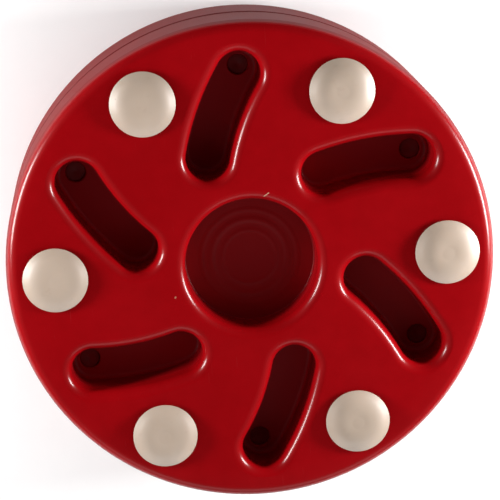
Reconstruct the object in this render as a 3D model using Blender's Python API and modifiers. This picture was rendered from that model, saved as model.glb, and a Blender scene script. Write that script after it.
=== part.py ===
"""Roller hockey puck: two moulded halves, six glide runners that float in their bores, six dowels.

The part stands on its rear runner heads at z = 0, with its axis along Z and the front face up.
Units are metres. Run with: blender --background --python part.py
"""

import math

import bmesh
import bpy
from mathutils import Matrix, Vector

# Whole puck
PUCK_RADIUS = 0.0381
OVERALL_HEIGHT = 0.0254
COUNT = 6
CONTACT_GAP = 0.0003

# Glide runners
RUNNER_CIRCLE_RADIUS = 0.0305
RUNNER_FLOAT = 0.0003
HEAD_RADIUS = 0.00505
HEAD_THICKNESS = 0.00095
HEAD_FLAT_RADIUS = 0.0025
HEAD_EDGE_HEIGHT = 0.00025
SLEEVE_RADIUS = 0.0030
SOCKET_RADIUS = 0.0019
GROOVE_RADIUS = 0.0023
BARB_RADIUS = 0.0020
SOCKET_END_ROOM = 0.0010
PLUG_LENGTH = 0.0155
BARB_LENGTH = 0.0018
BARB_LEAD = 0.0012

# Body heights that follow from the runners
REAR_FACE = HEAD_THICKNESS + CONTACT_GAP
FRONT_FACE = OVERALL_HEIGHT - HEAD_THICKNESS - CONTACT_GAP - RUNNER_FLOAT
MID_PLANE = (REAR_FACE + FRONT_FACE) / 2
HALF_HEIGHT = (FRONT_FACE - REAR_FACE) / 2

# Each half
EDGE_FILLET = 0.0020
SEAM_CHAMFER = 0.0004
BORE_RADIUS = SLEEVE_RADIUS + CONTACT_GAP

# Round recess in the middle of each face
RECESS_DEPTH = 0.0062
RECESS_RADIUS = 0.01035
RECESS_FLOOR_RADIUS = 0.0098
RECESS_LIP = 0.0016
RECESS_FLOOR_FILLET = 0.0006
RING_RADIUS = 0.0060
RING_WIDTH = 0.0012
RING_HEIGHT = 0.00025

# Swirl pockets: a slot of constant width along a shallow arc, with round ends
POCKET_DEPTH = 0.0077
POCKET_HALF_WIDTH = 0.00345
POCKET_DRAFT = 0.0003
POCKET_LIP = 0.0017
POCKET_FLOOR_FILLET = 0.0005
POCKET_OUTER_RADIUS = 0.0299
POCKET_INNER_RADIUS = 0.01805
POCKET_SWEEP = math.radians(18)
POCKET_START = math.radians(30.65)
POCKET_BOW = 0.0006

# Dowels, in the floor of each pocket's outer end
DOWEL_CIRCLE_RADIUS = 0.0304
DOWEL_HOLE_RADIUS = 0.00155
DOWEL_RADIUS = DOWEL_HOLE_RADIUS - CONTACT_GAP
DOWEL_SINK = 0.0009
DOWEL_CHAMFER = 0.0003

# Fineness of the round shapes
BODY_STEPS = 60
RUNNER_STEPS = 20
BORE_STEPS = 20
HOLE_STEPS = 12
LIP_STEPS = 3
EDGE_STEPS = 4
FLOOR_FILLET_STEPS = 2
POCKET_END_STEPS = 7
POCKET_SIDE_STEPS = 4
MERGE_DISTANCE = 0.00001
CUT_MARGIN = 0.001

SMOOTH_ANGLE = math.radians(35)


def clear_scene():
    for obj in list(bpy.data.objects):
        bpy.data.objects.remove(obj, do_unlink=True)


def new_collection(name):
    collection = bpy.data.collections.new(name)
    bpy.context.scene.collection.children.link(collection)
    return collection


def new_material(name, colour, roughness):
    material = bpy.data.materials.new(name)
    material.use_nodes = True
    shader = material.node_tree.nodes["Principled BSDF"]
    shader.inputs["Base Color"].default_value = (*colour, 1)
    shader.inputs["Roughness"].default_value = roughness
    shader.inputs["Metallic"].default_value = 0
    return material


def new_object(name, mesh, collection, parent=None, material=None):
    obj = bpy.data.objects.new(name, mesh)
    collection.objects.link(obj)
    obj.parent = parent
    if material:
        mesh.materials.append(material)
    return obj


def new_empty(name, location, collection, parent=None, turn=(0, 0, 0)):
    empty = bpy.data.objects.new(name, None)
    collection.objects.link(empty)
    empty.empty_display_size = HEAD_RADIUS
    empty.location = location
    empty.rotation_euler = turn
    empty.parent = parent
    return empty


def arc(centre, radius, start, end, steps):
    """Points (x, z) on an arc, from one angle to the other in degrees, both ends included."""
    angles = [math.radians(start + (end - start) * i / steps) for i in range(steps + 1)]
    return [(centre[0] + radius * math.cos(a), centre[1] + radius * math.sin(a)) for a in angles]


def turned_mesh(name, profile):
    """A profile of (x, z) points that a Screw modifier turns, from the top of the axis to its foot."""
    mesh = bpy.data.meshes.new(name)
    points = [(x, 0, z) for x, z in profile]
    mesh.from_pydata(points, [(i, i + 1) for i in range(len(points) - 1)], [])
    return mesh


def add_screw(obj, steps):
    screw = obj.modifiers.new("turn", "SCREW")
    screw.axis = "Z"
    screw.steps = steps
    screw.render_steps = steps
    screw.use_merge_vertices = True
    screw.merge_threshold = MERGE_DISTANCE
    screw.use_smooth_shade = True


def finish_mesh(obj):
    """Turns the shape that the modifiers make into the object's own mesh, shaded smooth by angle."""
    bpy.context.view_layer.update()
    depsgraph = bpy.context.evaluated_depsgraph_get()
    mesh = bpy.data.meshes.new_from_object(obj.evaluated_get(depsgraph))
    mesh.name = obj.name
    mesh.shade_smooth()
    mesh.set_sharp_from_angle(angle=SMOOTH_ANGLE)
    obj.modifiers.clear()
    obj.data = mesh


# The halves ----------------------------------------------------------------------------------


def half_profile():
    """The half above its mating plane z = 0, from the recess floor out over the face and down."""
    floor = HALF_HEIGHT - RECESS_DEPTH
    ring_inner = RING_RADIUS - RING_WIDTH / 2
    ring_outer = RING_RADIUS + RING_WIDTH / 2
    ring_bevel = RING_HEIGHT / 2
    ring = [
        (ring_inner, floor),
        (ring_inner + ring_bevel, floor + RING_HEIGHT),
        (ring_outer - ring_bevel, floor + RING_HEIGHT),
        (ring_outer, floor),
    ]
    fillet_centre = (RECESS_FLOOR_RADIUS - RECESS_FLOOR_FILLET, floor + RECESS_FLOOR_FILLET)
    lip_centre = (RECESS_RADIUS + RECESS_LIP, HALF_HEIGHT - RECESS_LIP)
    edge_centre = (PUCK_RADIUS - EDGE_FILLET, HALF_HEIGHT - EDGE_FILLET)
    mating = CONTACT_GAP / 2
    return [
        (0, floor),
        *ring,
        *arc(fillet_centre, RECESS_FLOOR_FILLET, -90, 0, FLOOR_FILLET_STEPS),
        *arc(lip_centre, RECESS_LIP, 180, 90, LIP_STEPS),
        *arc(edge_centre, EDGE_FILLET, 90, 0, EDGE_STEPS),
        (PUCK_RADIUS, mating + SEAM_CHAMFER),
        (PUCK_RADIUS - SEAM_CHAMFER, mating),
        (0, mating),
    ]


def pocket_outline(half_width):
    """The outline at that distance from the pocket's arc, counter-clockwise, in the XY plane.

    The pocket's outer end is on +X, and its inner end lies counter-clockwise of it.
    """
    outer = Vector((POCKET_OUTER_RADIUS, 0))
    inner = Vector((math.cos(POCKET_SWEEP), math.sin(POCKET_SWEEP))) * POCKET_INNER_RADIUS
    chord = inner - outer
    across = Vector((chord.y, -chord.x)).normalized()
    arc_radius = (chord.length**2 / 4 + POCKET_BOW**2) / (2 * POCKET_BOW)
    centre = (outer + inner) / 2 + across * (POCKET_BOW - arc_radius)
    start = math.atan2(*(outer - centre).yx)
    turn = 2 * math.asin(chord.length / 2 / arc_radius)

    def along(origin, radius, first, angle, steps):
        angles = [first + angle * i / steps for i in range(steps)]
        return [origin + Vector((math.cos(a), math.sin(a))) * radius for a in angles]

    return [
        *along(centre, arc_radius + half_width, start, turn, POCKET_SIDE_STEPS),
        *along(inner, half_width, start + turn, math.pi, POCKET_END_STEPS),
        *along(centre, arc_radius - half_width, start + turn, -turn, POCKET_SIDE_STEPS),
        *along(outer, half_width, start + math.pi, math.pi, POCKET_END_STEPS),
    ]


def pocket_sections():
    """(half width, z) from the pocket's floor up its wall and out over the rounded lip."""
    floor = HALF_HEIGHT - POCKET_DEPTH
    floor_width = POCKET_HALF_WIDTH - POCKET_DRAFT
    lip_centre = (POCKET_HALF_WIDTH + POCKET_LIP, HALF_HEIGHT - POCKET_LIP)
    return [
        (floor_width - POCKET_FLOOR_FILLET, floor),
        (floor_width, floor + POCKET_FLOOR_FILLET),
        *arc(lip_centre, POCKET_LIP, 180, 90, LIP_STEPS),
        (POCKET_HALF_WIDTH + POCKET_LIP, HALF_HEIGHT + CUT_MARGIN),
    ]


def add_loft(bm, sections, matrix):
    """A closed loft through the pocket outline at each section, turned and placed by matrix."""
    rings = []
    for half_width, z in sections:
        outline = pocket_outline(half_width)
        rings.append([bm.verts.new(matrix @ Vector((p.x, p.y, z))) for p in outline])
    count = len(rings[0])
    for low, high in zip(rings, rings[1:]):
        for i in range(count):
            j = (i + 1) % count
            bm.faces.new((low[i], low[j], high[j], high[i]))
    bm.faces.new(reversed(rings[0]))
    bm.faces.new(rings[-1])


def turned_copies(offset):
    """One turn about the axis for each pocket or runner, starting at the given angle."""
    return [Matrix.Rotation(offset + math.tau * i / COUNT, 4, "Z") for i in range(COUNT)]


def pocket_cutter_mesh():
    bm = bmesh.new()
    for matrix in turned_copies(POCKET_START):
        add_loft(bm, pocket_sections(), matrix)
    mesh = bpy.data.meshes.new("pocket_cutter")
    bm.to_mesh(mesh)
    bm.free()
    return mesh


def hole_cutter_mesh(radius, circle_radius, offset, steps):
    """A ring of cylinders that pass right through a half."""
    bm = bmesh.new()
    for matrix in turned_copies(offset):
        centre = matrix @ Matrix.Translation((circle_radius, 0, HALF_HEIGHT / 2))
        depth = HALF_HEIGHT + 2 * CUT_MARGIN
        bmesh.ops.create_cone(
            bm,
            cap_ends=True,
            segments=steps,
            radius1=radius,
            radius2=radius,
            depth=depth,
            matrix=centre,
        )
    mesh = bpy.data.meshes.new("hole_cutter")
    bm.to_mesh(mesh)
    bm.free()
    return mesh


def cut(obj, cutter):
    cutter.hide_render = True
    cutter.display_type = "WIRE"
    boolean = obj.modifiers.new(cutter.name, "BOOLEAN")
    boolean.operation = "DIFFERENCE"
    boolean.solver = "EXACT"
    boolean.object = cutter


def make_half(name, turn, parts, cutters, parent, material):
    frame = new_empty(name + "_frame", (0, 0, 0), parts, parent, turn)
    half = new_object(name, turned_mesh(name, half_profile()), parts, frame, material)
    add_screw(half, BODY_STEPS)
    pockets = pocket_cutter_mesh()
    bores = hole_cutter_mesh(BORE_RADIUS, RUNNER_CIRCLE_RADIUS, 0, BORE_STEPS)
    dowel_holes = hole_cutter_mesh(
        DOWEL_HOLE_RADIUS, DOWEL_CIRCLE_RADIUS, math.pi / COUNT, HOLE_STEPS
    )
    for label, mesh in (("pockets", pockets), ("bores", bores), ("dowel_holes", dowel_holes)):
        cut(half, new_object(f"{name}_{label}", mesh, cutters, frame))
    finish_mesh(half)


# The runners and dowels ----------------------------------------------------------------------


def head_curve():
    """(radius, height over the head's flat underside) from the flat crown down to the edge."""
    width = HEAD_RADIUS - HEAD_FLAT_RADIUS
    rise = HEAD_THICKNESS - HEAD_EDGE_HEIGHT
    quarter = arc((0, 0), 1, 90, 0, LIP_STEPS)
    return [(HEAD_FLAT_RADIUS + width * x, HEAD_EDGE_HEIGHT + rise * z) for x, z in quarter]


def sleeve_profile():
    """The front part: a crowned head on a tube that is open at its foot, with a groove inside."""
    underside = OVERALL_HEIGHT - HEAD_THICKNESS
    foot = HEAD_THICKNESS + CONTACT_GAP
    groove_top = PLUG_LENGTH - BARB_LEAD + CONTACT_GAP
    groove_foot = PLUG_LENGTH - BARB_LEAD - BARB_LENGTH - CONTACT_GAP
    step = GROOVE_RADIUS - SOCKET_RADIUS
    return [
        (0, OVERALL_HEIGHT),
        *[(x, underside + z) for x, z in head_curve()],
        (HEAD_RADIUS - HEAD_EDGE_HEIGHT, underside),
        (SLEEVE_RADIUS, underside),
        (SLEEVE_RADIUS, foot),
        (SOCKET_RADIUS, foot),
        (SOCKET_RADIUS, groove_foot),
        (GROOVE_RADIUS, groove_foot + step),
        (GROOVE_RADIUS, groove_top),
        (SOCKET_RADIUS, groove_top + step),
        (SOCKET_RADIUS, PLUG_LENGTH + SOCKET_END_ROOM),
        (0, PLUG_LENGTH + SOCKET_END_ROOM),
    ]


def plug_profile():
    """The rear part: a stem with a barb near its tip, on a crowned head that rests on z = 0."""
    stem = SOCKET_RADIUS - CONTACT_GAP
    tip = stem - CONTACT_GAP
    barb_top = PLUG_LENGTH - BARB_LEAD
    barb_foot = barb_top - BARB_LENGTH
    head = [(x, HEAD_THICKNESS - z) for x, z in reversed(head_curve())]
    return [
        (0, PLUG_LENGTH),
        (tip, PLUG_LENGTH),
        (BARB_RADIUS, barb_top),
        (BARB_RADIUS, barb_foot + BARB_RADIUS - stem),
        (stem, barb_foot),
        (stem, HEAD_THICKNESS),
        (HEAD_RADIUS - HEAD_EDGE_HEIGHT, HEAD_THICKNESS),
        *head,
        (0, 0),
    ]


def dowel_profile():
    """A chamfered pin, centred on the mid-plane, whose ends stop short of both pocket floors."""
    half_length = HALF_HEIGHT - POCKET_DEPTH - DOWEL_SINK
    upper = [
        (0, half_length),
        (DOWEL_RADIUS - DOWEL_CHAMFER, half_length),
        (DOWEL_RADIUS, half_length - DOWEL_CHAMFER),
    ]
    return upper + [(x, -z) for x, z in reversed(upper)]


def make_turned(name, profile, steps, collection, parent, material):
    obj = new_object(name, turned_mesh(name, profile), collection, parent, material)
    add_screw(obj, steps)
    finish_mesh(obj)


def on_circle(radius, angle, z=0.0):
    return (radius * math.cos(angle), radius * math.sin(angle), z)


def main():
    clear_scene()
    parts = new_collection("roller_hockey_puck")
    cutters = new_collection("cutters")
    red = new_material("red_body", (0.27, 0.002, 0.005), 0.25)
    dark_red = new_material("dark_red_dowel", (0.12, 0.002, 0.004), 0.5)
    ivory = new_material("ivory_runner", (0.60, 0.49, 0.40), 0.35)

    body = new_empty("puck_body", (0, 0, MID_PLANE), parts)
    make_half("front_half", (0, 0, 0), parts, cutters, body, red)
    make_half("rear_half", (math.pi, 0, 0), parts, cutters, body, red)

    for i in range(COUNT):
        number = i + 1
        angle = math.tau * i / COUNT
        foot = on_circle(RUNNER_CIRCLE_RADIUS, angle)
        runner = new_empty(f"runner_{number}", foot, parts)
        make_turned(f"runner_{number}_sleeve", sleeve_profile(), RUNNER_STEPS, parts, runner, ivory)
        make_turned(f"runner_{number}_plug", plug_profile(), RUNNER_STEPS, parts, runner, ivory)
        seat = on_circle(DOWEL_CIRCLE_RADIUS, angle + math.pi / COUNT)
        dowel_frame = new_empty(f"dowel_{number}_frame", seat, parts, body)
        make_turned(f"dowel_{number}", dowel_profile(), HOLE_STEPS, parts, dowel_frame, dark_red)


main()
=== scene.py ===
"""Looks for the roller hockey puck: fine mouldings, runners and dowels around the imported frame."""

import math

import bmesh
import bpy
from mathutils import Matrix, Vector


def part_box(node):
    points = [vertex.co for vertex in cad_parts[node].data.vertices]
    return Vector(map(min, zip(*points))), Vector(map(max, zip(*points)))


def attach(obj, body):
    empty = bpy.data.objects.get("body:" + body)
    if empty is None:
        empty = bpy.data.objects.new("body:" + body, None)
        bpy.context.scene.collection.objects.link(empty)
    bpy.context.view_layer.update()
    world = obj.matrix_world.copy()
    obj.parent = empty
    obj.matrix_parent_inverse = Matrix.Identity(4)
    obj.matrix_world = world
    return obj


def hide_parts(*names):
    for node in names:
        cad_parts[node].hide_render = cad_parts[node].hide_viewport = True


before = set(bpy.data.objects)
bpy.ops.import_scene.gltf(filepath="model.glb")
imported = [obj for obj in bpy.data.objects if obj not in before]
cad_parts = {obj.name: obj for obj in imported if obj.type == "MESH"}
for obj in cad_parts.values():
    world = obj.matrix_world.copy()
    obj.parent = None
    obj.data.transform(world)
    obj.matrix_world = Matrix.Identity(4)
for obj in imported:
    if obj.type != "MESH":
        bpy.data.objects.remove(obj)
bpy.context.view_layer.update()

MM = 0.001
COUNT = 6

# Heights and radii, read from the frame
REAR_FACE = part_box("rear_half")[0].z
FRONT_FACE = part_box("front_half")[1].z
MID_PLANE = (REAR_FACE + FRONT_FACE) / 2
HALF_HEIGHT = (FRONT_FACE - REAR_FACE) / 2
PUCK_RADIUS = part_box("front_half")[1].x
SLEEVE_LOW, SLEEVE_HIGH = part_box("runner_1_sleeve")
PLUG_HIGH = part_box("runner_1_plug")[1]
DOWEL_LOW, DOWEL_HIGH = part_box("dowel_1")
HEAD_RADIUS = (SLEEVE_HIGH.x - SLEEVE_LOW.x) / 2
RUNNER_CIRCLE = (SLEEVE_HIGH.x + SLEEVE_LOW.x) / 2
DOWEL_CENTRE = (DOWEL_LOW + DOWEL_HIGH) / 2
DOWEL_CIRCLE = math.hypot(DOWEL_CENTRE.x, DOWEL_CENTRE.y)

# The mouldings
SEAM_GAP = 0.30 * MM
SEAM_CHAMFER = 0.50 * MM
EDGE_FILLET = 2.0 * MM
EDGE_BLEND_RADIUS = 38.0 * MM
EDGE_BLEND_ANGLE = 4.5  # degrees, the slope that the face reaches before the fillet
BORE_RADIUS = 3.3 * MM
RECESS_DEPTH = 6.2 * MM
RECESS_RADIUS = 10.35 * MM
RECESS_FLOOR_RADIUS = 10.25 * MM
RECESS_LIP = 1.6 * MM
RECESS_FLOOR_FILLET = 0.2 * MM
RINGS_MM = ((4.3, 0.55, 0.05), (6.0, 0.75, 0.10), (7.6, 0.6, 0.05))  # radius, half width, height
RING_STEPS = 10
POCKET_DEPTH = 7.7 * MM
POCKET_HALF_WIDTH = 3.45 * MM
POCKET_DRAFT = 0.15 * MM
POCKET_LIP = 1.7 * MM
POCKET_FLOOR_FILLET = 0.7 * MM
POCKET_OUTER_RADIUS = 29.9 * MM
POCKET_INNER_RADIUS = 18.05 * MM
POCKET_SWEEP = math.radians(18)
POCKET_START = math.radians(30.65)
POCKET_BOW = 0.6 * MM
DOWEL_HOLE_RADIUS = 1.6 * MM
DOWEL_HOLE_LIP = 0.15 * MM
DOWEL_CLEARANCE = 0.02 * MM
DOWEL_SINK = 0.45 * MM  # from the pocket's floor down to the dowel's end
DOWEL_ROUND_END = 0.12 * MM
DIMPLE_DEPTH = 0.15 * MM
DIMPLE_RADIUS = 0.7 * MM
DIMPLE_FLOOR_RADIUS = 0.35 * MM
DIMPLE_FLOOR_SHARE = 0.8  # of the depth, at the dimple's floor radius

# The runners
HEAD_THICKNESS = 1.2 * MM
HEAD_EDGE_HEIGHT = 0.08 * MM
HEAD_FLAT_RADIUS = 1.5 * MM
HEAD_BEND_RADIUS = 4.2 * MM
HEAD_UNDERCUT_START = -18  # degrees, where the lower edge's arc starts, just under its widest point
STEEPEST_CROWN = math.pi / 3
GATE_RING_RADIUS = 1.0 * MM
GATE_RING_DEPTH = 0.012 * MM
GATE_RING_HALF_WIDTH = 0.18 * MM
SLEEVE_RADIUS = 3.0 * MM
SLEEVE_CHAMFER = 0.3 * MM
SOCKET_RADIUS = 1.9 * MM
STEM_RADIUS = 1.6 * MM
STEM_END_CHAMFER = 0.3 * MM
BARB_RADIUS = 2.0 * MM
BARB_LENGTH = 1.8 * MM
BARB_LEAD = 1.2 * MM
SOCKET_END_ROOM = 1.0 * MM

# Fineness
BODY_STEPS = 192
RUNNER_STEPS = 72
LIP_STEPS = 8
EDGE_STEPS = 12
EDGE_BLEND_STEPS = 4
UNDERSIDE_STEPS = 4
DOWEL_END_STEPS = 6
CROWN_STEPS = 20
SIDE_STEPS = 20
END_STEPS = 24
SLOPE_HALVINGS = 40
CUT_MARGIN = 1.0 * MM
MERGE_DISTANCE = 0.001 * MM
SMOOTH_ANGLE = math.radians(40)
RIM_WALL_NORMAL = 0.2  # a face of the rim's wall has a normal with less z than this


# Meshes --------------------------------------------------------------------------------------


def direction(azimuth, elevation):
    """The unit vector at those angles, in radians."""
    flat = math.cos(elevation)
    return Vector((flat * math.cos(azimuth), flat * math.sin(azimuth), math.sin(elevation)))


def arc(centre, radius, start, end, steps):
    """Points (x, z) on an arc, from one angle to the other in degrees, both ends included."""
    angles = [math.radians(start + (end - start) * i / steps) for i in range(steps + 1)]
    return [(centre[0] + radius * math.cos(a), centre[1] + radius * math.sin(a)) for a in angles]


def add_object(name, mesh):
    obj = bpy.data.objects.new(name, mesh)
    bpy.context.scene.collection.objects.link(obj)
    return obj


def evaluated_mesh(obj):
    bpy.context.view_layer.update()
    depsgraph = bpy.context.evaluated_depsgraph_get()
    return bpy.data.meshes.new_from_object(obj.evaluated_get(depsgraph))


def turned(name, profile, steps):
    """The mesh of a profile of (x, z) points, turned about Z, from the top of the axis to its foot."""
    points = [(x, 0, z) for x, z in profile]
    mesh = bpy.data.meshes.new(name)
    mesh.from_pydata(points, [(i, i + 1) for i in range(len(points) - 1)], [])
    obj = add_object(name + "_profile", mesh)
    screw = obj.modifiers.new("turn", "SCREW")
    screw.steps = steps
    screw.render_steps = steps
    screw.use_merge_vertices = True
    screw.merge_threshold = MERGE_DISTANCE
    result = evaluated_mesh(obj)
    bpy.data.objects.remove(obj)
    return result


def pocket_outline(half_width):
    """The outline at that distance from the pocket's arc, counter-clockwise, in the XY plane."""
    outer = Vector((POCKET_OUTER_RADIUS, 0))
    inner = Vector((math.cos(POCKET_SWEEP), math.sin(POCKET_SWEEP))) * POCKET_INNER_RADIUS
    chord = inner - outer
    across = Vector((chord.y, -chord.x)).normalized()
    arc_radius = (chord.length**2 / 4 + POCKET_BOW**2) / (2 * POCKET_BOW)
    centre = (outer + inner) / 2 + across * (POCKET_BOW - arc_radius)
    start = math.atan2(*(outer - centre).yx)
    turn = 2 * math.asin(chord.length / 2 / arc_radius)

    def along(origin, radius, first, angle, steps):
        angles = [first + angle * i / steps for i in range(steps)]
        return [origin + Vector((math.cos(a), math.sin(a))) * radius for a in angles]

    return [
        *along(centre, arc_radius + half_width, start, turn, SIDE_STEPS),
        *along(inner, half_width, start + turn, math.pi, END_STEPS),
        *along(centre, arc_radius - half_width, start + turn, -turn, SIDE_STEPS),
        *along(outer, half_width, start + math.pi, math.pi, END_STEPS),
    ]


def pocket_sections():
    """(half width, z) from the pocket's floor up its wall and out over the rounded lip."""
    floor = HALF_HEIGHT - POCKET_DEPTH
    floor_width = POCKET_HALF_WIDTH - POCKET_DRAFT
    fillet_centre = (floor_width - POCKET_FLOOR_FILLET, floor + POCKET_FLOOR_FILLET)
    lip_centre = (POCKET_HALF_WIDTH + POCKET_LIP, HALF_HEIGHT - POCKET_LIP)
    return [
        *arc(fillet_centre, POCKET_FLOOR_FILLET, -90, 0, LIP_STEPS // 2),
        *arc(lip_centre, POCKET_LIP, 180, 90, LIP_STEPS),
        (POCKET_HALF_WIDTH + POCKET_LIP, HALF_HEIGHT + CUT_MARGIN),
    ]


def add_loft(bm, rings):
    """A closed loft through rings of points, from the lowest ring to the highest."""
    rings = [[bm.verts.new(point) for point in ring] for ring in rings]
    count = len(rings[0])
    for low, high in zip(rings, rings[1:]):
        for i in range(count):
            j = (i + 1) % count
            bm.faces.new((low[i], low[j], high[j], high[i]))
    bm.faces.new(reversed(rings[0]))
    bm.faces.new(rings[-1])


def copies(offset):
    """One turn about the axis for each pocket or runner, starting at the given angle."""
    return [Matrix.Rotation(offset + math.tau * i / COUNT, 4, "Z") for i in range(COUNT)]


def pocket_cutter():
    bm = bmesh.new()
    for matrix in copies(POCKET_START):
        rings = [
            [matrix @ Vector((p.x, p.y, z)) for p in pocket_outline(half_width)]
            for half_width, z in pocket_sections()
        ]
        add_loft(bm, rings)
    mesh = bpy.data.meshes.new("pocket_cutter")
    bm.to_mesh(mesh)
    bm.free()
    return add_object("pocket_cutter", mesh)


def hole_cutter(name, sections, circle_radius, offset, steps):
    """A ring of round holes. Sections are (radius, z), from the lowest to the highest."""
    bm = bmesh.new()
    for matrix in copies(offset):
        rings = []
        for radius, z in sections:
            angles = [math.tau * i / steps for i in range(steps)]
            ring = [(circle_radius + radius * math.cos(a), radius * math.sin(a), z) for a in angles]
            rings.append([matrix @ Vector(point) for point in ring])
        add_loft(bm, rings)
    mesh = bpy.data.meshes.new(name)
    bm.to_mesh(mesh)
    bm.free()
    return add_object(name, mesh)


def half_profile():
    """The half above its mating plane z = 0, from the recess floor out over the face and down."""
    floor = HALF_HEIGHT - RECESS_DEPTH
    rings = []
    for radius, half_width, height in RINGS_MM:
        for i in range(RING_STEPS + 1):
            turn = math.tau * i / RING_STEPS
            x = radius + half_width * (turn / math.pi - 1)
            rings.append((x * MM, floor + height * MM * (1 - math.cos(turn)) / 2))
    fillet_centre = (RECESS_FLOOR_RADIUS - RECESS_FLOOR_FILLET, floor + RECESS_FLOOR_FILLET)
    lip_centre = (RECESS_RADIUS + RECESS_LIP, HALF_HEIGHT - RECESS_LIP)
    edge_x = PUCK_RADIUS - EDGE_FILLET
    blend_end = 90 - EDGE_BLEND_ANGLE
    blend_x = edge_x - (EDGE_BLEND_RADIUS - EDGE_FILLET) * math.cos(math.radians(blend_end))
    blend_centre = (blend_x, HALF_HEIGHT - EDGE_BLEND_RADIUS)
    blend = arc(blend_centre, EDGE_BLEND_RADIUS, 90, blend_end, EDGE_BLEND_STEPS)
    edge_z = blend[-1][1] - EDGE_FILLET * math.sin(math.radians(blend_end))
    mating = SEAM_GAP / 2
    return [
        (0, floor),
        *rings,
        *arc(fillet_centre, RECESS_FLOOR_FILLET, -90, 0, LIP_STEPS // 2),
        *arc(lip_centre, RECESS_LIP, 180, 90, LIP_STEPS),
        *blend[:-1],
        *arc((edge_x, edge_z), EDGE_FILLET, blend_end, 0, EDGE_STEPS),
        (PUCK_RADIUS, mating + SEAM_CHAMFER),
        (PUCK_RADIUS - SEAM_CHAMFER, mating),
        (0, mating),
    ]


def half_mesh():
    """One moulding, with its pockets, bores and dowel holes, on its mating plane z = 0."""
    half = add_object("half", turned("half", half_profile(), BODY_STEPS))
    floor = HALF_HEIGHT - POCKET_DEPTH
    low, high = -CUT_MARGIN, HALF_HEIGHT + CUT_MARGIN
    bore = [(BORE_RADIUS, low), (BORE_RADIUS, high)]
    hole = [
        (DOWEL_HOLE_RADIUS, low),
        (DOWEL_HOLE_RADIUS, floor - DOWEL_HOLE_LIP),
        (DOWEL_HOLE_RADIUS + DOWEL_HOLE_LIP, floor),
        (DOWEL_HOLE_RADIUS + DOWEL_HOLE_LIP, floor + CUT_MARGIN),
    ]
    cutters = [
        pocket_cutter(),
        hole_cutter("bore_cutter", bore, RUNNER_CIRCLE, 0, RUNNER_STEPS),
        hole_cutter("dowel_hole_cutter", hole, DOWEL_CIRCLE, math.pi / COUNT, RUNNER_STEPS // 2),
    ]
    for cutter in cutters:
        boolean = half.modifiers.new(cutter.name, "BOOLEAN")
        boolean.operation = "DIFFERENCE"
        boolean.solver = "EXACT"
        boolean.object = cutter
    mesh = evaluated_mesh(half)
    for obj in [half, *cutters]:
        bpy.data.objects.remove(obj)
    return mesh


def crown_slope():
    """The angle at which the crown's bend runs on, straight, to the head's edge."""
    drop = HEAD_THICKNESS - HEAD_EDGE_HEIGHT
    bend = HEAD_BEND_RADIUS - HEAD_FLAT_RADIUS
    skirt = HEAD_RADIUS - HEAD_BEND_RADIUS
    low, high = 0.0, STEEPEST_CROWN
    for _ in range(SLOPE_HALVINGS):
        slope = (low + high) / 2
        if bend * math.tan(slope / 2) + skirt * math.tan(slope) < drop:
            low = slope
        else:
            high = slope
    return slope


def crown():
    """(radius, height over the head's flat underside) from the crown's middle down to its edge."""
    slope = crown_slope()
    bend = (HEAD_BEND_RADIUS - HEAD_FLAT_RADIUS) / math.sin(slope)
    centre = (HEAD_FLAT_RADIUS, HEAD_THICKNESS - bend)
    return [
        (0, HEAD_THICKNESS),
        (GATE_RING_RADIUS - GATE_RING_HALF_WIDTH, HEAD_THICKNESS),
        (GATE_RING_RADIUS, HEAD_THICKNESS - GATE_RING_DEPTH),
        (GATE_RING_RADIUS + GATE_RING_HALF_WIDTH, HEAD_THICKNESS),
        *arc(centre, bend, 90, 90 - math.degrees(slope), CROWN_STEPS),
        (HEAD_RADIUS, HEAD_EDGE_HEIGHT),
    ]


def underside():
    """(radius, height) round the head's lower edge, from just under its widest point to the flat."""
    centre = (HEAD_RADIUS - HEAD_EDGE_HEIGHT, HEAD_EDGE_HEIGHT)
    return arc(centre, HEAD_EDGE_HEIGHT, HEAD_UNDERCUT_START, -90, UNDERSIDE_STEPS)


def sleeve_profile():
    """The front part: a crowned head on a tube that is open at its foot."""
    base = SLEEVE_HIGH.z - HEAD_THICKNESS
    foot = SLEEVE_LOW.z
    end = PLUG_HIGH.z + SOCKET_END_ROOM
    return [
        *[(x, base + z) for x, z in crown()],
        *[(x, base + z) for x, z in underside()],
        (SLEEVE_RADIUS + SLEEVE_CHAMFER, base),
        (SLEEVE_RADIUS, base - SLEEVE_CHAMFER),
        (SLEEVE_RADIUS, foot + SLEEVE_CHAMFER),
        (SLEEVE_RADIUS - SLEEVE_CHAMFER, foot),
        (SOCKET_RADIUS, foot),
        (SOCKET_RADIUS, end),
        (0, end),
    ]


def plug_profile():
    """The rear part: a barbed stem on a crowned head that rests on z = 0."""
    top = PLUG_HIGH.z
    barb_top = top - BARB_LEAD
    base = HEAD_THICKNESS
    head = [(x, base - z) for x, z in [*reversed(underside()), *reversed(crown())]]
    return [
        (0, top),
        (STEM_RADIUS - STEM_END_CHAMFER, top),
        (BARB_RADIUS, barb_top),
        (BARB_RADIUS, barb_top - BARB_LENGTH + BARB_RADIUS - STEM_RADIUS),
        (STEM_RADIUS, barb_top - BARB_LENGTH),
        (STEM_RADIUS, base),
        *head,
    ]


def dowel_profile():
    """A pressed pin with rounded ends, each with a shallow dimple, centred on z = 0."""
    half_length = HALF_HEIGHT - POCKET_DEPTH - DOWEL_SINK
    radius = DOWEL_HOLE_RADIUS - DOWEL_CLEARANCE
    end_centre = (radius - DOWEL_ROUND_END, half_length - DOWEL_ROUND_END)
    upper = [
        (0, half_length - DIMPLE_DEPTH),
        (DIMPLE_FLOOR_RADIUS, half_length - DIMPLE_DEPTH * DIMPLE_FLOOR_SHARE),
        (DIMPLE_RADIUS, half_length),
        *arc(end_centre, DOWEL_ROUND_END, 90, 0, DOWEL_END_STEPS),
    ]
    return upper + [(x, -z) for x, z in reversed(upper)]


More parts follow.
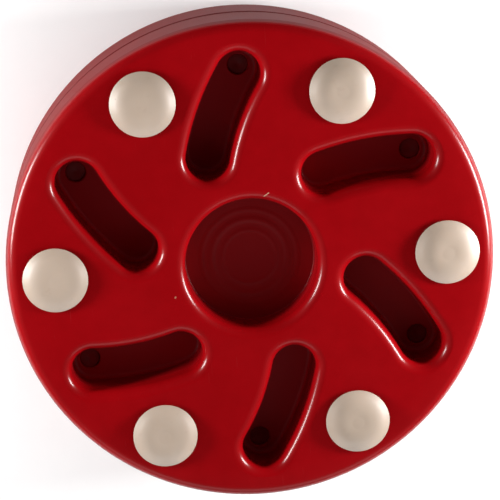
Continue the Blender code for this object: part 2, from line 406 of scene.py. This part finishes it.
# Materials -----------------------------------------------------------------------------------

DEEP_RED = (0.245, 0.0010, 0.0026, 1)
RED = (0.285, 0.0013, 0.0034, 1)
HOLLOW_RED = (0.27, 0.0016, 0.0045, 1)
# painted light: a brighter red that lifts the deep pocket floors
POCKET_FLOOR_LIGHT_RED = (0.38, 0.003, 0.008, 1)
# painted shade: a darker red that darkens the rim's wall
RIM_SHADE_RED = (0.13, 0.012, 0.012, 1)
SEAM_RED = (0.10, 0.002, 0.003, 1)
SCUFF_PINK = (0.46, 0.09, 0.08, 1)
DUST_TAN = (0.55, 0.25, 0.14, 1)
NICK_TAN = (0.58, 0.36, 0.24, 1)
DEEP_IVORY = (0.48, 0.37, 0.285, 1)
IVORY = (0.52, 0.40, 0.31, 1)
GRIME_BROWN = (0.42, 0.30, 0.22, 1)
WEAR_TAN = (0.50, 0.40, 0.32, 1)
DOT_BROWN = (0.20, 0.10, 0.07, 1)
# painted shade: the dowels' darker red stands in for the shade in their holes
DOWEL_SHADED_DEEP_RED = (0.20, 0.0015, 0.004, 1)
DOWEL_SHADED_RED = (0.24, 0.002, 0.005, 1)
PAPER_SHADE = (0.95, 0.95, 0.95, 1)
PAPER_WHITE = (0.98, 0.98, 0.98, 1)

FACE_SPECULAR = 0.26
RIM_SPECULAR = 0.10
IVORY_SPECULAR = 1.0
IVORY_IOR = 1.7
RED_ROUGHNESS = 0.20
IVORY_ROUGHNESS = 0.35
DOWEL_ROUGHNESS = 0.40
PAPER_ROUGHNESS = 0.9
SCRATCH_SCALE = (5200.0, 170.0, 900.0)  # finest across the scratches and coarsest along them
SCRATCH_START = 0.72
SCRATCH_FULL = 0.80
PATCH_START = 0.50
PATCH_FULL = 0.62
SPECK_CORE = 0.5  # share of a speck's size within which it is full
STROKE_EDGE = 0.6  # shares of a mark's length and width: where it ends, and where it is full
STROKE_CORE = 0.4

# Where the red changes: distances in from the rim, height from the seam, radii, depths under the face
RIM_FADE = 0.45 * MM
RIM_FULL = 0.05 * MM
SEAM_DARK_HEIGHT = 1.6 * SEAM_CHAMFER
HOLLOW_LIMIT = 36 * MM
HOLLOW_REACH = 35 * MM
HOLLOW_FADE_DEPTH = 2.5 * MM
HOLLOW_FULL_DEPTH = 5.5 * MM
FLOOR_FADE_DEPTH = 6.5 * MM
FLOOR_FULL_DEPTH = 7.3 * MM
MARK_DEPTH = 1.0 * MM
MARK_FULL_DEPTH = 0.6 * MM


class Graph:
    """A material's nodes, with short calls for the ones used here."""

    def __init__(self, name):
        self.material = bpy.data.materials.new(name)
        self.material.use_nodes = True
        self.nodes = self.material.node_tree.nodes
        self.links = self.material.node_tree.links
        self.shader = self.nodes["Principled BSDF"]
        self.position = self.nodes.new("ShaderNodeTexCoord").outputs["Object"]

    def put(self, socket, value):
        if isinstance(value, bpy.types.NodeSocket):
            self.links.new(value, socket)
        else:
            socket.default_value = value

    def math(self, operation, a, b=0.0, c=0.0):
        node = self.nodes.new("ShaderNodeMath")
        node.operation = operation
        for socket, value in zip(node.inputs, (a, b, c)):
            self.put(socket, value)
        return node.outputs[0]

    def add_share(self, value, mask, share):
        """Value plus the mask times the share."""
        return self.math("ADD", value, self.math("MULTIPLY", mask, share))

    def noise(self, scale, detail=2.0, roughness=0.5, position=None):
        node = self.nodes.new("ShaderNodeTexNoise")
        self.put(node.inputs["Vector"], position or self.position)
        node.inputs["Scale"].default_value = scale
        node.inputs["Detail"].default_value = detail
        node.inputs["Roughness"].default_value = roughness
        return node.outputs["Fac"]

    def voronoi(self, scale):
        node = self.nodes.new("ShaderNodeTexVoronoi")
        self.put(node.inputs["Vector"], self.position)
        node.inputs["Scale"].default_value = scale
        return node

    def spread(self, value, low, high, to_low=0.0, to_high=1.0):
        """Value from low to high becomes to_low to to_high, smoothly, held at both ends."""
        node = self.nodes.new("ShaderNodeMapRange")
        node.interpolation_type = "SMOOTHSTEP"
        for socket, part in zip(node.inputs, (value, low, high, to_low, to_high)):
            self.put(socket, part)
        return node.outputs["Result"]

    def blend(self, factor, a, b):
        node = self.nodes.new("ShaderNodeMix")
        node.data_type = "RGBA"
        self.put(node.inputs["Factor"], factor)
        self.put(node.inputs["A"], a)
        self.put(node.inputs["B"], b)
        return node.outputs["Result"]

    def paint(self, colour, mask, share, paint):
        """The colour, with that share of the paint over it where the mask is 1."""
        return self.blend(self.math("MULTIPLY", mask, share), colour, paint)

    def parts(self):
        """The position's x, y and z."""
        node = self.nodes.new("ShaderNodeSeparateXYZ")
        self.put(node.inputs[0], self.position)
        return node.outputs

    def stretched(self, scale, turn):
        """Object coordinates turned about Z and stretched along one way, for scratches."""
        node = self.nodes.new("ShaderNodeMapping")
        self.put(node.inputs["Vector"], self.position)
        node.inputs["Rotation"].default_value = (0, 0, turn)
        node.inputs["Scale"].default_value = scale
        return node.outputs["Vector"]

    def bump(self, height, distance, strength, below=None):
        node = self.nodes.new("ShaderNodeBump")
        node.inputs["Strength"].default_value = strength
        node.inputs["Distance"].default_value = distance
        self.put(node.inputs["Height"], height)
        if below:
            self.put(node.inputs["Normal"], below)
        return node.outputs["Normal"]

    def finish(self, colour, roughness, normal):
        self.put(self.shader.inputs["Base Color"], colour)
        self.put(self.shader.inputs["Roughness"], roughness)
        self.put(self.shader.inputs["Normal"], normal)
        return self.material


def scratches(graph, turn, amount):
    """Thin, broken lines in one direction: 1 on a scratch and 0 elsewhere."""
    line = graph.noise(scale=1.0, detail=1.0, position=graph.stretched(SCRATCH_SCALE, turn))
    thin = graph.spread(line, SCRATCH_START - amount, SCRATCH_FULL - amount)
    patch = graph.spread(graph.noise(scale=70.0), PATCH_START, PATCH_FULL)
    return graph.math("MULTIPLY", thin, patch)


def specks(graph, scale, size, share):
    """Sparse round specks: 1 in the middle of one, 0 away from it. share is the part of cells."""
    cells = graph.voronoi(scale)
    disc = graph.spread(cells.outputs["Distance"], size, size * SPECK_CORE)
    pick = graph.nodes.new("ShaderNodeSeparateColor")
    graph.put(pick.inputs[0], cells.outputs["Color"])
    chosen = graph.math("LESS_THAN", pick.outputs[0], share)
    return graph.math("MULTIPLY", disc, chosen)


def mark(graph, radius, angle, turn, length, width):
    """A short stroke on the front face: 1 inside it. Its place is polar, and it points at turn."""
    x, y, z = graph.parts()
    here = direction(math.radians(angle), 0) * radius
    along = direction(math.radians(turn), 0)
    across = direction(math.radians(turn + 90), 0)
    inside = graph.spread(z, FRONT_FACE - MARK_DEPTH, FRONT_FACE - MARK_FULL_DEPTH)
    for axis, size in ((along, length), (across, width)):
        offset = graph.math("MULTIPLY_ADD", x, axis.x, -here.dot(axis))
        offset = graph.math("ABSOLUTE", graph.math("MULTIPLY_ADD", y, axis.y, offset))
        stroke = graph.spread(offset, size * STROKE_EDGE, size * STROKE_CORE)
        inside = graph.math("MULTIPLY", inside, stroke)
    return inside


def red_plastic(name, specular):
    """The body's plastic. Its colour and roughness change by place: rim, seam, hollows and face. The
    pocket floors carry painted light, a brighter red, and the rim's wall carries painted shade, a
    darker red.
    """
    graph = Graph(name)
    graph.shader.inputs["Specular IOR Level"].default_value = specular
    x, y, z = graph.parts()
    square = graph.math("ADD", graph.math("MULTIPLY", x, x), graph.math("MULTIPLY", y, y))
    radius = graph.math("SQRT", square)
    height = graph.math("ABSOLUTE", graph.math("SUBTRACT", z, MID_PLANE))
    rim = graph.spread(radius, PUCK_RADIUS - RIM_FADE, PUCK_RADIUS - RIM_FULL)
    seam = graph.math("MULTIPLY", rim, graph.spread(height, SEAM_DARK_HEIGHT, SEAM_CHAMFER))
    deep = graph.spread(height, HALF_HEIGHT - HOLLOW_FADE_DEPTH, HALF_HEIGHT - HOLLOW_FULL_DEPTH)
    hollow = graph.math("MULTIPLY", deep, graph.spread(radius, HOLLOW_LIMIT, HOLLOW_REACH))
    pocket = graph.spread(height, HALF_HEIGHT - FLOOR_FADE_DEPTH, HALF_HEIGHT - FLOOR_FULL_DEPTH)
    pocket = graph.math("MULTIPLY", hollow, pocket)

    cloud = graph.noise(scale=42.0, detail=3.0, roughness=0.55)
    fine = graph.noise(scale=420.0)
    tone = graph.math("ADD", graph.math("MULTIPLY", cloud, 0.7), graph.math("MULTIPLY", fine, 0.3))
    dull = graph.math("MULTIPLY", hollow, graph.spread(cloud, 0.3, 0.7, 0.6, 1.0))
    scuff = graph.math("MAXIMUM", scratches(graph, 0.6, -0.03), scratches(graph, 2.2, -0.03))
    dust = specks(graph, scale=150.0, size=0.028, share=0.05)
    speck = mark(graph, radius=12.9 * MM, angle=-161, turn=60, length=0.35 * MM, width=0.25 * MM)
    dust = graph.math("MAXIMUM", dust, speck)
    nick = mark(graph, radius=11.4 * MM, angle=75.7, turn=36, length=1.0 * MM, width=0.16 * MM)

    colour = graph.blend(graph.spread(tone, 0.3, 0.7), DEEP_RED, RED)
    colour = graph.blend(dull, colour, HOLLOW_RED)
    # painted light: the pocket floors are blended to a brighter red
    colour = graph.blend(pocket, colour, POCKET_FLOOR_LIGHT_RED)
    # painted shade: the rim's wall is painted a darker red
    colour = graph.paint(colour, rim, 0.7, RIM_SHADE_RED)
    colour = graph.paint(colour, seam, 0.8, SEAM_RED)
    colour = graph.paint(colour, scuff, 0.04, SCUFF_PINK)
    colour = graph.paint(colour, dust, 0.55, DUST_TAN)
    colour = graph.paint(colour, nick, 0.8, NICK_TAN)

    rough = graph.add_share(RED_ROUGHNESS, graph.noise(scale=95.0, detail=3.0), 0.07)
    for mask, share in ((rim, 0.34), (dull, 0.20), (scuff, 0.15), (dust, 0.4)):
        rough = graph.add_share(rough, mask, share)

    normal = graph.bump(graph.noise(scale=330.0), distance=0.02 * MM, strength=0.35)
    normal = graph.bump(graph.noise(scale=2600.0), 0.006 * MM, 0.3, below=normal)
    spark = graph.math("MULTIPLY", graph.noise(scale=1900.0, detail=3.0, roughness=0.6), rim)
    normal = graph.bump(spark, 0.03 * MM, 0.5, below=normal)
    normal = graph.bump(graph.math("MAXIMUM", dust, nick), 0.05 * MM, 0.6, below=normal)
    return graph.finish(colour, rough, normal)


def ivory_plastic():
    graph = Graph("ivory_plastic")
    shader = graph.shader.inputs
    shader["Specular IOR Level"].default_value = IVORY_SPECULAR
    shader["IOR"].default_value = IVORY_IOR
    shader["Subsurface Weight"].default_value = 0.15
    shader["Subsurface Radius"].default_value = (1.0, 0.7, 0.5)
    shader["Subsurface Scale"].default_value = 0.6 * MM
    tone = graph.spread(graph.noise(scale=120.0, detail=3.0), 0.3, 0.7)
    grime = graph.spread(graph.noise(scale=800.0, detail=3.0), 0.60, 0.75)
    wear = graph.math("MAXIMUM", scratches(graph, 0.2, 0.03), scratches(graph, 1.9, 0.03))
    dots = specks(graph, scale=260.0, size=0.05, share=0.04)
    colour = graph.blend(tone, DEEP_IVORY, IVORY)
    colour = graph.paint(colour, grime, 0.25, GRIME_BROWN)
    colour = graph.paint(colour, wear, 0.30, WEAR_TAN)
    colour = graph.paint(colour, dots, 0.6, DOT_BROWN)
    rough = graph.add_share(IVORY_ROUGHNESS, graph.noise(scale=240.0, detail=3.0), 0.12)
    rough = graph.add_share(rough, wear, 0.15)
    normal = graph.bump(graph.noise(scale=500.0, detail=3.0), distance=0.01 * MM, strength=0.35)
    normal = graph.bump(wear, 0.006 * MM, 0.6, below=normal)
    return graph.finish(colour, rough, normal)


# painted shade: the dowels get a darker red that stands in for the shade in their holes
def dowel_red_with_painted_shade():
    graph = Graph("dowel_red_with_painted_shade")
    tone = graph.spread(graph.noise(scale=900.0, detail=3.0), 0.3, 0.7)
    colour = graph.blend(tone, DOWEL_SHADED_DEEP_RED, DOWEL_SHADED_RED)
    rough = graph.add_share(DOWEL_ROUGHNESS, graph.noise(scale=700.0), 0.2)
    normal = graph.bump(graph.noise(scale=2400.0), distance=0.01 * MM, strength=0.5)
    return graph.finish(colour, rough, normal)


def floor_paper():
    graph = Graph("floor_paper")
    colour = graph.blend(graph.noise(scale=260.0, detail=3.0), PAPER_SHADE, PAPER_WHITE)
    normal = graph.bump(graph.noise(scale=900.0, detail=3.0), distance=0.02 * MM, strength=0.3)
    return graph.finish(colour, PAPER_ROUGHNESS, normal)


# Pieces --------------------------------------------------------------------------------------


def place(name, mesh, material, body, node):
    """A piece that rides on its body, stands for its CAD node and is shaded smooth by angle."""
    mesh.materials.clear()
    mesh.materials.append(material)
    mesh.shade_smooth()
    mesh.set_sharp_from_angle(angle=SMOOTH_ANGLE)
    piece = add_object(name, mesh)
    weighted = piece.modifiers.new("weighted_normals", "WEIGHTED_NORMAL")
    weighted.mode = "FACE_AREA"
    weighted.keep_sharp = True
    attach(piece, body)
    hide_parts(node)


def frost_rim(mesh, material):
    """Gives the wall round the rim, between the two rounded edges, its own material."""
    mesh.materials.append(material)
    for polygon in mesh.polygons:
        centre = polygon.center
        on_rim = math.hypot(centre.x, centre.y) > PUCK_RADIUS - SEAM_CHAMFER
        if on_rim and abs(polygon.normal.z) < RIM_WALL_NORMAL:
            polygon.material_index = 1


def make_halves(material, rim_material):
    base = half_mesh()
    lift = Matrix.Translation((0, 0, MID_PLANE))
    for node, turn in (("front_half", 0), ("rear_half", math.pi)):
        mesh = base.copy()
        mesh.transform(lift @ Matrix.Rotation(turn, 4, "X"))
        place(node + "_moulding", mesh, material, "puck_body", node)
        frost_rim(mesh, rim_material)


def make_runners(material):
    profiles = {"sleeve": sleeve_profile(), "plug": plug_profile()}
    for part, profile in profiles.items():
        base = turned(part, profile, RUNNER_STEPS)
        for number, matrix in enumerate(copies(0), start=1):
            mesh = base.copy()
            mesh.transform(matrix @ Matrix.Translation((RUNNER_CIRCLE, 0, 0)))
            node = f"runner_{number}_{part}"
            place(node + "_moulding", mesh, material, f"runner_{number}", node)


def make_dowels(material):
    base = turned("dowel", dowel_profile(), RUNNER_STEPS // 2)
    for number, matrix in enumerate(copies(math.pi / COUNT), start=1):
        mesh = base.copy()
        mesh.transform(matrix @ Matrix.Translation((DOWEL_CIRCLE, 0, MID_PLANE)))
        node = f"dowel_{number}"
        place(node + "_pin", mesh, material, "puck_body", node)


# Stage ---------------------------------------------------------------------------------------

CAMERA_TARGET = Vector((-0.21 * MM, 2.51 * MM, FRONT_FACE))
CAMERA_DISTANCE = 322.6 * MM
CAMERA_AZIMUTH = math.radians(103.24)
CAMERA_ELEVATION = math.radians(76.09)
IMAGE_UP_AZIMUTH = math.radians(86.72)
CAMERA_LENS = 150.1
CAMERA_SENSOR = 36.0

FLOOR_SIZE = 3.0
FLOOR_CELLS = 8
FLOOR_DROP = 0.05 * MM

# Name, azimuth and elevation in degrees, distance and (width, height) in metres, watts
LAMPS = (
    ("right_lamp", 3, 13, 0.18, (0.072, 0.023), 0.60),
    ("left_lamp", 170, 14, 0.20, (0.080, 0.025), 0.52),
    ("near_lamp", 268, 20, 0.35, (0.40, 0.14), 0.20),
)

WORLD_LEVEL = 0.29
WORLD_SIDES = 0.65  # added level towards +X and -X
WORLD_SLOPE = -0.85  # of the level's square root along Y
WORLD_GLOSS = 0.02  # share of the level that reflections see
OVERHEAD_FADE = 0.80  # the z of a direction at which the world starts to darken
OVERHEAD_DARK = 0.92


def make_floor(material):
    mesh = bpy.data.meshes.new("floor")
    bm = bmesh.new()
    bmesh.ops.create_grid(bm, x_segments=FLOOR_CELLS, y_segments=FLOOR_CELLS, size=FLOOR_SIZE / 2)
    bm.to_mesh(mesh)
    bm.free()
    mesh.materials.append(material)
    floor = add_object("floor", mesh)
    floor.location.z = -FLOOR_DROP


def make_light(name, azimuth, elevation, distance, size, power):
    data = bpy.data.lights.new(name, "AREA")
    data.shape = "RECTANGLE"
    data.size, data.size_y = size
    data.energy = power
    light = bpy.data.objects.new(name, data)
    bpy.context.scene.collection.objects.link(light)
    away = direction(math.radians(azimuth), math.radians(elevation))
    light.location = Vector((0, 0, FRONT_FACE)) + away * distance
    light.rotation_euler = away.to_track_quat("Z", "Y").to_euler()


def make_camera():
    data = bpy.data.cameras.new("camera")
    data.lens = CAMERA_LENS
    data.sensor_width = CAMERA_SENSOR
    camera = bpy.data.objects.new("camera", data)
    bpy.context.scene.collection.objects.link(camera)
    back = direction(CAMERA_AZIMUTH, CAMERA_ELEVATION)
    up = direction(IMAGE_UP_AZIMUTH, 0)
    right = up.cross(back).normalized()
    up = back.cross(right)
    axes = Matrix((right, up, back)).transposed().to_4x4()
    camera.matrix_world = Matrix.Translation(CAMERA_TARGET + back * CAMERA_DISTANCE) @ axes
    bpy.context.scene.camera = camera


def make_world():
    """Pale at the sides and towards -Y, dark overhead, and dim in reflections."""
    world = bpy.data.worlds.new("world")
    bpy.context.scene.world = world
    world.use_nodes = True
    nodes, links = world.node_tree.nodes, world.node_tree.links

    def multiply_add(a, b, c):
        node = nodes.new("ShaderNodeMath")
        node.operation = "MULTIPLY_ADD"
        for socket, value in zip(node.inputs, (a, b, c)):
            if isinstance(value, bpy.types.NodeSocket):
                links.new(value, socket)
            else:
                socket.default_value = value
        return node.outputs[0]

    split = nodes.new("ShaderNodeSeparateXYZ")
    links.new(nodes.new("ShaderNodeTexCoord").outputs["Generated"], split.inputs[0])
    ramp = nodes.new("ShaderNodeValToRGB")
    links.new(split.outputs["Z"], ramp.inputs[0])
    stops = ramp.color_ramp.elements
    stops[0].position, stops[0].color = OVERHEAD_FADE, (1, 1, 1, 1)
    stops[1].position, stops[1].color = OVERHEAD_DARK, (0, 0, 0, 1)
    links.new(ramp.outputs[0], nodes["Background"].inputs["Color"])
    sides = multiply_add(split.outputs["X"], split.outputs["X"], 0.0)
    root = multiply_add(split.outputs["Y"], WORLD_SLOPE, 1.0)
    level = multiply_add(multiply_add(root, root, 0.0), WORLD_LEVEL, 0.0)
    level = multiply_add(sides, WORLD_SIDES, level)
    glossy = nodes.new("ShaderNodeLightPath").outputs["Is Glossy Ray"]
    share = multiply_add(glossy, WORLD_GLOSS - 1.0, 1.0)
    links.new(multiply_add(level, share, 0.0), nodes["Background"].inputs["Strength"])


face_plastic = red_plastic("red_plastic", FACE_SPECULAR)
rim_plastic = red_plastic("frosted_red_plastic", RIM_SPECULAR)
make_halves(face_plastic, rim_plastic)
make_runners(ivory_plastic())
make_dowels(dowel_red_with_painted_shade())
make_floor(floor_paper())
for lamp in LAMPS:
    make_light(*lamp)
make_world()
make_camera()
bpy.context.scene.view_settings.view_transform = "Standard"
